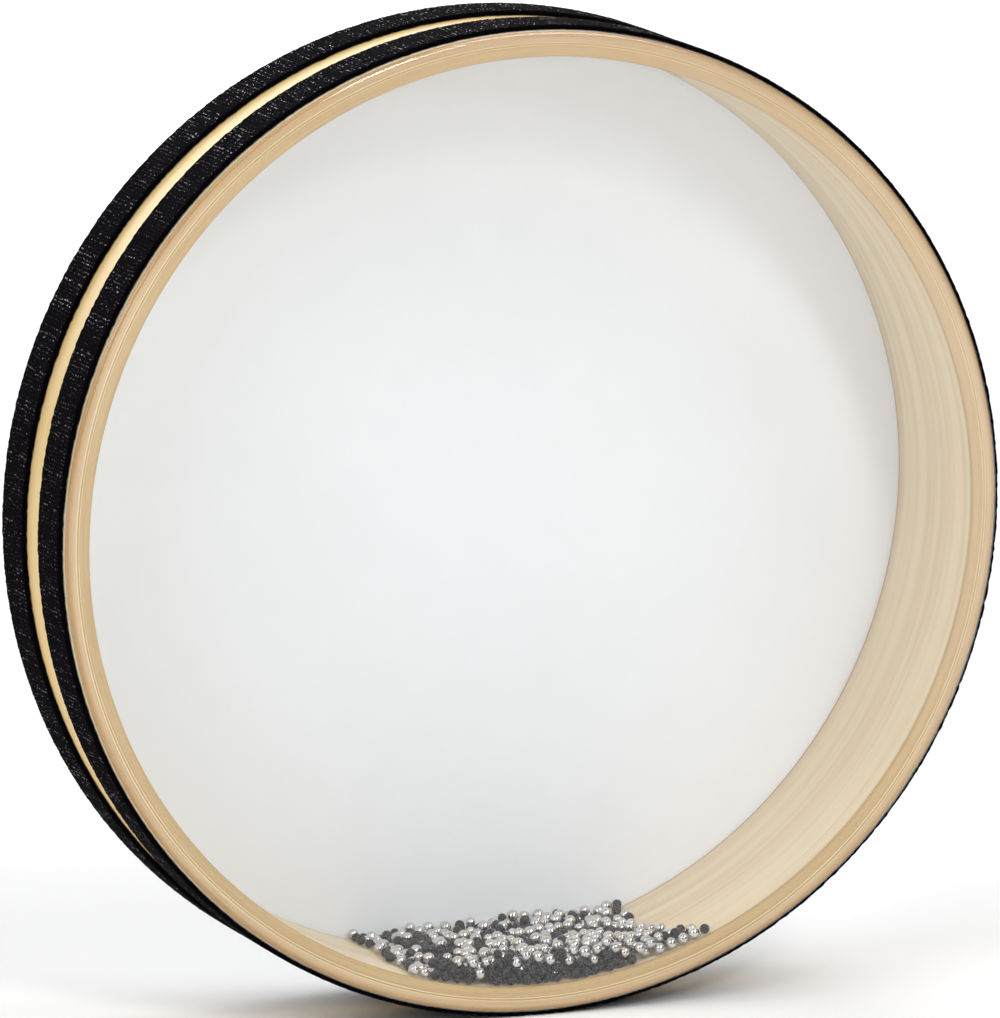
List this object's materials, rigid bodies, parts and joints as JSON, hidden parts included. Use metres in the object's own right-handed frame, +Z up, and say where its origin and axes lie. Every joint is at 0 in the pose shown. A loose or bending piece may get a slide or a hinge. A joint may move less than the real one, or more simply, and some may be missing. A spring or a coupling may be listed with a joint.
{
  "type": "ocean drum",
  "caption": "Shallow round wooden drum with a clear front head and a white rear head, closed all round, with loose steel balls inside that roll with a sound like surf.",
  "frame": {"origin": "centre of the drum, on its axis and halfway between its two heads", "axes": "+Y along the drum's axis from the clear front head to the white rear head, +Z up, with the drum standing on its rim as in use on a shelf, +X to the right for a viewer who faces the clear head"},
  "size_m": [0.2564, 0.0508, 0.2564],
  "materials": {
    "outer_ply": "clear satin lacquer over a peeled birch ply",
    "core_ply": "bare pale ply, seen only on the wall's edge",
    "inner_ply": "bare sanded ply, fine grain running round the wall",
    "clear_film": "clear polyester film, smooth",
    "white_film": "white polyester film, faint sheen",
    "black_ribbon": "black cloth ribbon, matte, with tiny glints",
    "bright_shot": "bright plated steel",
    "dark_shot": "dark oiled steel, low gloss"
  },
  "bodies": {
    "drum": {"shell_outer_ply": "outer_ply", "shell_core_ply": "core_ply", "shell_inner_ply": "inner_ply", "front_head": "clear_film", "rear_head": "white_film", "front_ribbon": "black_ribbon", "rear_ribbon": "black_ribbon"},
    "shot_bed": {"shot_bed_bright": "bright_shot", "shot_bed_dark": "dark_shot"},
    "shot_left": {"shot_left_bright": "bright_shot", "shot_left_dark": "dark_shot"},
    "shot_right": {"shot_right_bright": "bright_shot", "shot_right_dark": "dark_shot"},
    "shot_heap": {"shot_heap_bright": "bright_shot", "shot_heap_dark": "dark_shot"}
  },
  "joints": [
    {"name": "bed_rolls_round_wall", "type": "hinge", "parent": "drum", "child": "shot_bed", "pos_m": [0, 0, 0], "axis": [0, 1, 0], "continuous": true},
    {"name": "left_end_rolls_up_wall", "type": "hinge", "parent": "shot_bed", "child": "shot_left", "pos_m": [0, 0, 0], "axis": [0, 1, 0], "range_deg": [0, 130]},
    {"name": "right_end_rolls_up_wall", "type": "hinge", "parent": "shot_bed", "child": "shot_right", "pos_m": [0, 0, 0], "axis": [0, 1, 0], "range_deg": [-130, 0]},
    {"name": "heap_runs_across_heads", "type": "slide", "parent": "shot_bed", "child": "shot_heap", "axis": [0, 0, 1], "range_m": [0, 0.225]}
  ]
}
